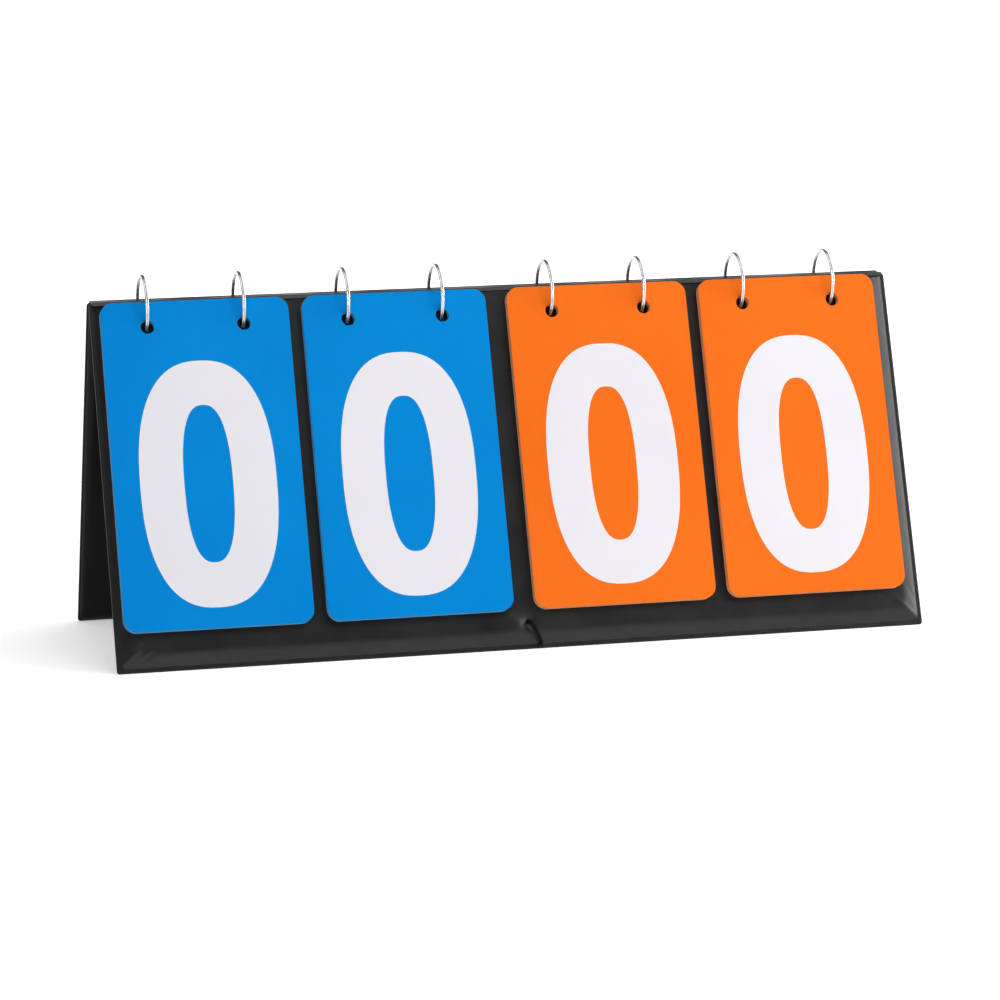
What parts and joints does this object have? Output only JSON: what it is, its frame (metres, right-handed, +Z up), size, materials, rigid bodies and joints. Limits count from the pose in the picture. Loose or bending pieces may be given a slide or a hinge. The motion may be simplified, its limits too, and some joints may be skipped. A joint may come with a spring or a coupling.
{
  "type": "tabletop flip scoreboard",
  "caption": "Folding A-frame scoreboard of padded vinyl panels, with blue and orange number leaves hung on split rings that flip over the top edge.",
  "frame": {"origin": "centre of the footprint, on the floor, with the stand open", "axes": "+X along the board to the orange leaves' side, -Y towards the number leaves, +Z up"},
  "size_m": [0.385, 0.1286, 0.1733],
  "materials": {
    "vinyl": "soft padded vinyl with a fine grain, satin",
    "board": "grey-brown stiff board, sealed inside",
    "foam": "thin white foam sheet, sealed inside",
    "cord": "braided black cord",
    "blue_leaf": "smooth printed plastic sheet, blue",
    "orange_leaf": "smooth printed plastic sheet, orange",
    "ring_wire": "bright nickel-plated spring wire"
  },
  "bodies": {
    "front_panel": {"front_cover": "vinyl", "front_board": "board", "front_foam": "foam", "spine_hinge": "vinyl", "tie_cord": "cord", "front_knot": "cord", "blue_tens_leaf_1": "blue_leaf", "blue_tens_leaf_2": "blue_leaf", "blue_tens_leaf_3": "blue_leaf", "blue_tens_leaf_4": "blue_leaf", "blue_tens_leaf_5": "blue_leaf", "blue_tens_leaf_6": "blue_leaf", "blue_tens_leaf_7": "blue_leaf", "blue_tens_leaf_8": "blue_leaf", "blue_tens_leaf_9": "blue_leaf", "blue_units_leaf_1": "blue_leaf", "blue_units_leaf_2": "blue_leaf", "blue_units_leaf_3": "blue_leaf", "blue_units_leaf_4": "blue_leaf", "blue_units_leaf_5": "blue_leaf", "blue_units_leaf_6": "blue_leaf", "blue_units_leaf_7": "blue_leaf", "blue_units_leaf_8": "blue_leaf", "blue_units_leaf_9": "blue_leaf", "orange_tens_leaf_1": "orange_leaf", "orange_tens_leaf_2": "orange_leaf", "orange_tens_leaf_3": "orange_leaf", "orange_tens_leaf_4": "orange_leaf", "orange_tens_leaf_5": "orange_leaf", "orange_tens_leaf_6": "orange_leaf", "orange_tens_leaf_7": "orange_leaf", "orange_tens_leaf_8": "orange_leaf", "orange_tens_leaf_9": "orange_leaf", "orange_units_leaf_1": "orange_leaf", "orange_units_leaf_2": "orange_leaf", "orange_units_leaf_3": "orange_leaf", "orange_units_leaf_4": "orange_leaf", "orange_units_leaf_5": "orange_leaf", "orange_units_leaf_6": "orange_leaf", "orange_units_leaf_7": "orange_leaf", "orange_units_leaf_8": "orange_leaf", "orange_units_leaf_9": "orange_leaf"},
    "back_panel": {"back_cover": "vinyl", "back_board": "board", "back_foam": "foam", "back_knot": "cord"},
    "blue_tens_rings": {"blue_tens_ring_left": "ring_wire", "blue_tens_ring_right": "ring_wire"},
    "blue_tens_front_leaf": {"blue_tens_leaf_0": "blue_leaf"},
    "blue_units_rings": {"blue_units_ring_left": "ring_wire", "blue_units_ring_right": "ring_wire"},
    "blue_units_front_leaf": {"blue_units_leaf_0": "blue_leaf"},
    "orange_tens_rings": {"orange_tens_ring_left": "ring_wire", "orange_tens_ring_right": "ring_wire"},
    "orange_tens_front_leaf": {"orange_tens_leaf_0": "orange_leaf"},
    "orange_units_rings": {"orange_units_ring_left": "ring_wire", "orange_units_ring_right": "ring_wire"},
    "orange_units_front_leaf": {"orange_units_leaf_0": "orange_leaf"}
  },
  "joints": [
    {"name": "fold", "type": "hinge", "parent": "front_panel", "child": "back_panel", "pos_m": [0, 0, 0.15836], "axis": [1, 0, 0], "range_deg": [-36, 0], "deforming": ["spine_hinge", "tie_cord"]},
    {"name": "blue_tens_flip", "type": "hinge", "parent": "front_panel", "child": "blue_tens_rings", "pos_m": [-0.14477, 0, 0.15836], "axis": [-1, 0, 0], "range_deg": [0, 230.21]},
    {"name": "blue_tens_leaf_turn", "type": "hinge", "parent": "blue_tens_rings", "child": "blue_tens_front_leaf", "pos_m": [-0.14477, -0.01281, 0.15236], "axis": [-1, 0, 0], "range_deg": [0, 89.79]},
    {"name": "blue_units_flip", "type": "hinge", "parent": "front_panel", "child": "blue_units_rings", "pos_m": [-0.05097, 0, 0.15836], "axis": [-1, 0, 0], "range_deg": [0, 230.21]},
    {"name": "blue_units_leaf_turn", "type": "hinge", "parent": "blue_units_rings", "child": "blue_units_front_leaf", "pos_m": [-0.05097, -0.01281, 0.15236], "axis": [-1, 0, 0], "range_deg": [0, 89.79]},
    {"name": "orange_tens_flip", "type": "hinge", "parent": "front_panel", "child": "orange_tens_rings", "pos_m": [0.04663, 0, 0.15836], "axis": [-1, 0, 0], "range_deg": [0, 230.21]},
    {"name": "orange_tens_leaf_turn", "type": "hinge", "parent": "orange_tens_rings", "child": "orange_tens_front_leaf", "pos_m": [0.04663, -0.01281, 0.15236], "axis": [-1, 0, 0], "range_deg": [0, 89.79]},
    {"name": "orange_units_flip", "type": "hinge", "parent": "front_panel", "child": "orange_units_rings", "pos_m": [0.14043, 0, 0.15836], "axis": [-1, 0, 0], "range_deg": [0, 230.21]},
    {"name": "orange_units_leaf_turn", "type": "hinge", "parent": "orange_units_rings", "child": "orange_units_front_leaf", "pos_m": [0.14043, -0.01281, 0.15236], "axis": [-1, 0, 0], "range_deg": [0, 89.79]}
  ],
  "couplings": [
    {"joint": "blue_tens_leaf_turn", "follows": "blue_tens_flip", "ratio": 0.39003},
    {"joint": "blue_units_leaf_turn", "follows": "blue_units_flip", "ratio": 0.39003},
    {"joint": "orange_tens_leaf_turn", "follows": "orange_tens_flip", "ratio": 0.39003},
    {"joint": "orange_units_leaf_turn", "follows": "orange_units_flip", "ratio": 0.39003}
  ]
}
